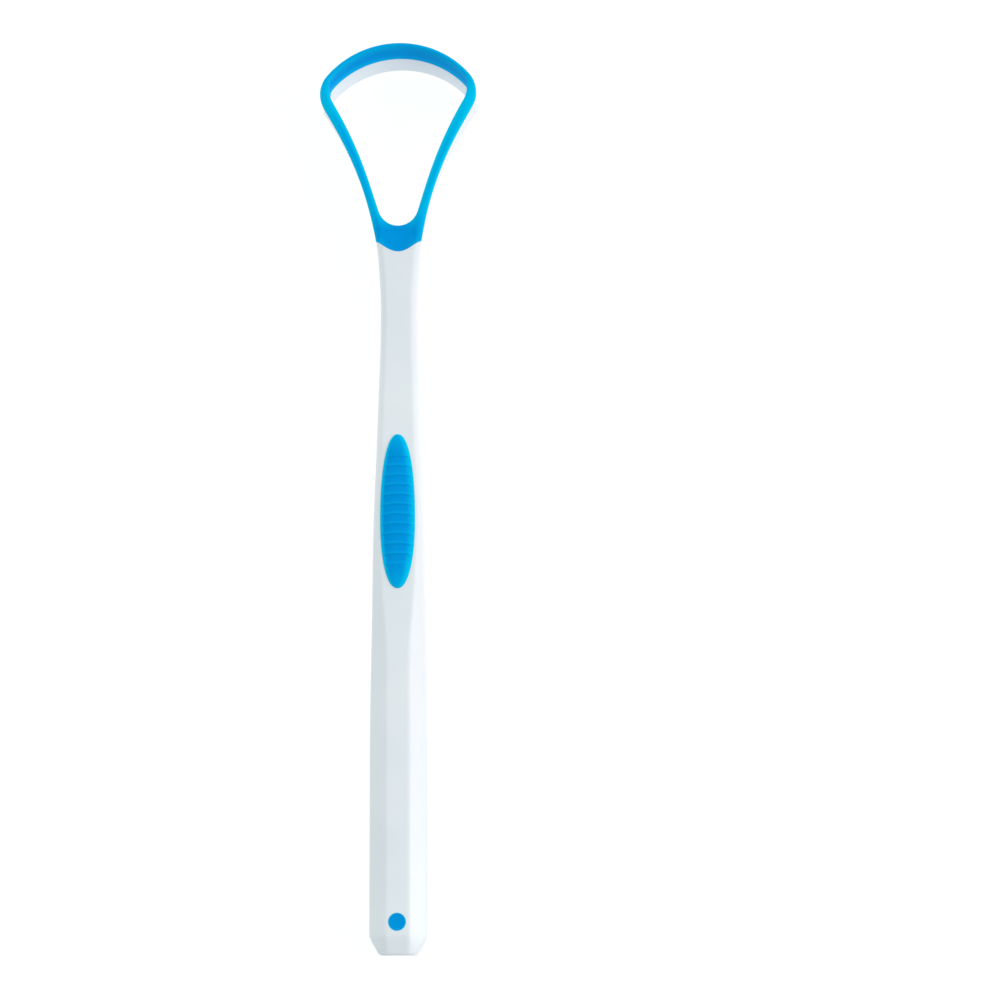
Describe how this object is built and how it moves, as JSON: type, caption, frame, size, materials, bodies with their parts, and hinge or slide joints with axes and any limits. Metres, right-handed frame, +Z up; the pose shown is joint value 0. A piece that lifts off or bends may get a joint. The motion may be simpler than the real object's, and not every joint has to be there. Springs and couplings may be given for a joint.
{
  "type": "tongue scraper",
  "caption": "Moulded tongue scraper: a rigid bevelled handle with a ribbed soft grip pad, ending in an open fan-shaped loop with a soft scraping lip.",
  "frame": {"origin": "under the middle of the length, on the surface that the scraper lies on, back down", "axes": "+Z up out of the front, where the grip pad is; +Y along the length towards the tip of the loop; +X to the right seen from the front"},
  "size_m": [0.0302, 0.175, 0.0088],
  "materials": {
    "rigid_white": "smooth moulded polypropylene, semi-gloss",
    "soft_blue": "satin thermoplastic elastomer"
  },
  "bodies": {
    "root": {"handle_body": "rigid_white", "scraper_rim": "soft_blue", "grip_pad": "soft_blue", "end_plug": "soft_blue"}
  },
  "joints": []
}
